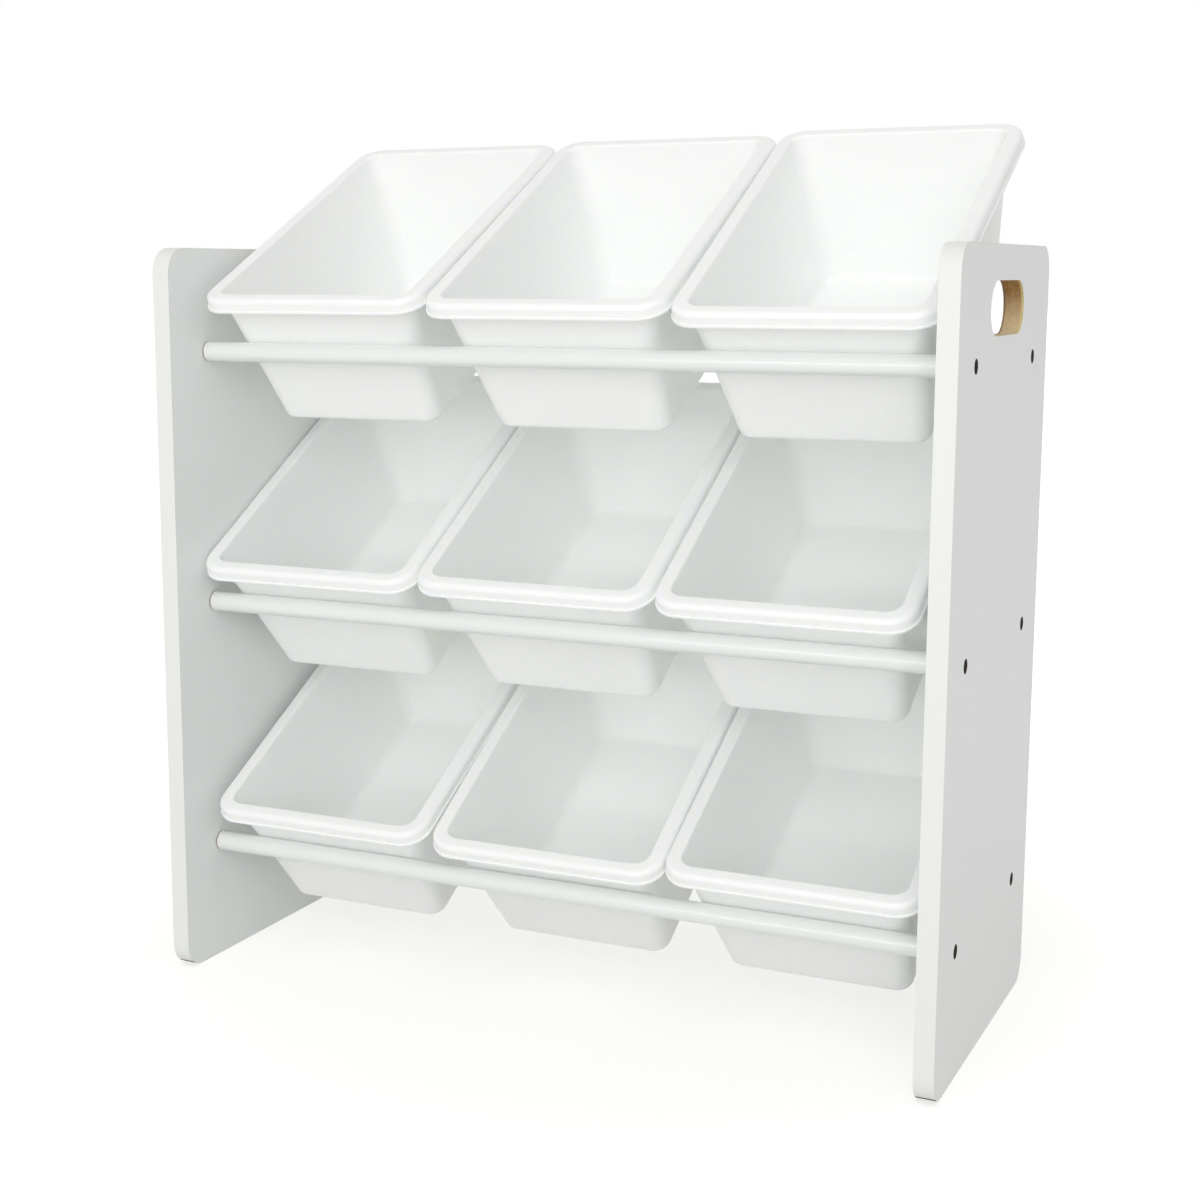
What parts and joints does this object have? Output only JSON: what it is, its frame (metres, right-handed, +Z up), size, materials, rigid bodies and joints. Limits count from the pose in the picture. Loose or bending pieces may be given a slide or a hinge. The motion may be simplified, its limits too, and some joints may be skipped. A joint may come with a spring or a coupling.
{
  "type": "toy storage organizer with bins",
  "caption": "Open toy storage organizer: side panels with hand slots, joined by tubular rods that carry rows of removable, forward-tilted open bins.",
  "frame": {"origin": "on the floor, at the middle of the bounding box, which reaches back to the bins' feet", "axes": "+X to the right as seen from the open front, +Y to the back, +Z up"},
  "size_m": [0.645, 0.317, 0.6905],
  "materials": {
    "white_board": "satin white laminate on raw particle board",
    "edge_band": "satin",
    "white_enamel": "gloss",
    "plug_plastic": "satin",
    "screw_steel": "zinc plated",
    "bin_plastic": "satin, slightly translucent"
  },
  "bodies": {
    "frame": {"left_side_panel": "white_board", "left_edge_band": "edge_band", "left_panel_screws": "screw_steel", "right_side_panel": "white_board", "right_edge_band": "edge_band", "right_panel_screws": "screw_steel", "bottom_front_rod": "white_enamel", "bottom_front_left_plug": "plug_plastic", "bottom_front_right_plug": "plug_plastic", "bottom_back_rod": "white_enamel", "bottom_back_left_plug": "plug_plastic", "bottom_back_right_plug": "plug_plastic", "middle_front_rod": "white_enamel", "middle_front_left_plug": "plug_plastic", "middle_front_right_plug": "plug_plastic", "middle_back_rod": "white_enamel", "middle_back_left_plug": "plug_plastic", "middle_back_right_plug": "plug_plastic", "top_front_rod": "white_enamel", "top_front_left_plug": "plug_plastic", "top_front_right_plug": "plug_plastic", "top_back_rod": "white_enamel", "top_back_left_plug": "plug_plastic", "top_back_right_plug": "plug_plastic"},
    "bottom_left_bin_body": {"bottom_left_bin": "bin_plastic"},
    "bottom_centre_bin_body": {"bottom_centre_bin": "bin_plastic"},
    "bottom_right_bin_body": {"bottom_right_bin": "bin_plastic"},
    "middle_left_bin_body": {"middle_left_bin": "bin_plastic"},
    "middle_centre_bin_body": {"middle_centre_bin": "bin_plastic"},
    "middle_right_bin_body": {"middle_right_bin": "bin_plastic"},
    "top_left_bin_body": {"top_left_bin": "bin_plastic"},
    "top_centre_bin_body": {"top_centre_bin": "bin_plastic"},
    "top_right_bin_body": {"top_right_bin": "bin_plastic"}
  },
  "joints": [
    {"name": "bottom_left_bin_slide", "type": "slide", "parent": "frame", "child": "bottom_left_bin_body", "axis": [0, 0.8796, 0.4756], "range_m": [0, 0.34]},
    {"name": "bottom_centre_bin_slide", "type": "slide", "parent": "frame", "child": "bottom_centre_bin_body", "axis": [0, 0.866, 0.5], "range_m": [0, 0.34]},
    {"name": "bottom_right_bin_slide", "type": "slide", "parent": "frame", "child": "bottom_right_bin_body", "axis": [0, 0.8821, 0.471], "range_m": [0, 0.34]},
    {"name": "middle_left_bin_slide", "type": "slide", "parent": "frame", "child": "middle_left_bin_body", "axis": [0, 0.866, 0.5], "range_m": [0, 0.34]},
    {"name": "middle_centre_bin_slide", "type": "slide", "parent": "frame", "child": "middle_centre_bin_body", "axis": [0, 0.8704, 0.4924], "range_m": [0, 0.34]},
    {"name": "middle_right_bin_slide", "type": "slide", "parent": "frame", "child": "middle_right_bin_body", "axis": [0, 0.8669, 0.4985], "range_m": [0, 0.34]},
    {"name": "top_left_bin_lift", "type": "slide", "parent": "frame", "child": "top_left_bin_body", "axis": [0, 0, 1], "range_m": [0, 0.25]},
    {"name": "top_centre_bin_lift", "type": "slide", "parent": "frame", "child": "top_centre_bin_body", "axis": [0, 0, 1], "range_m": [0, 0.25]},
    {"name": "top_right_bin_lift", "type": "slide", "parent": "frame", "child": "top_right_bin_body", "axis": [0, 0, 1], "range_m": [0, 0.25]}
  ]
}
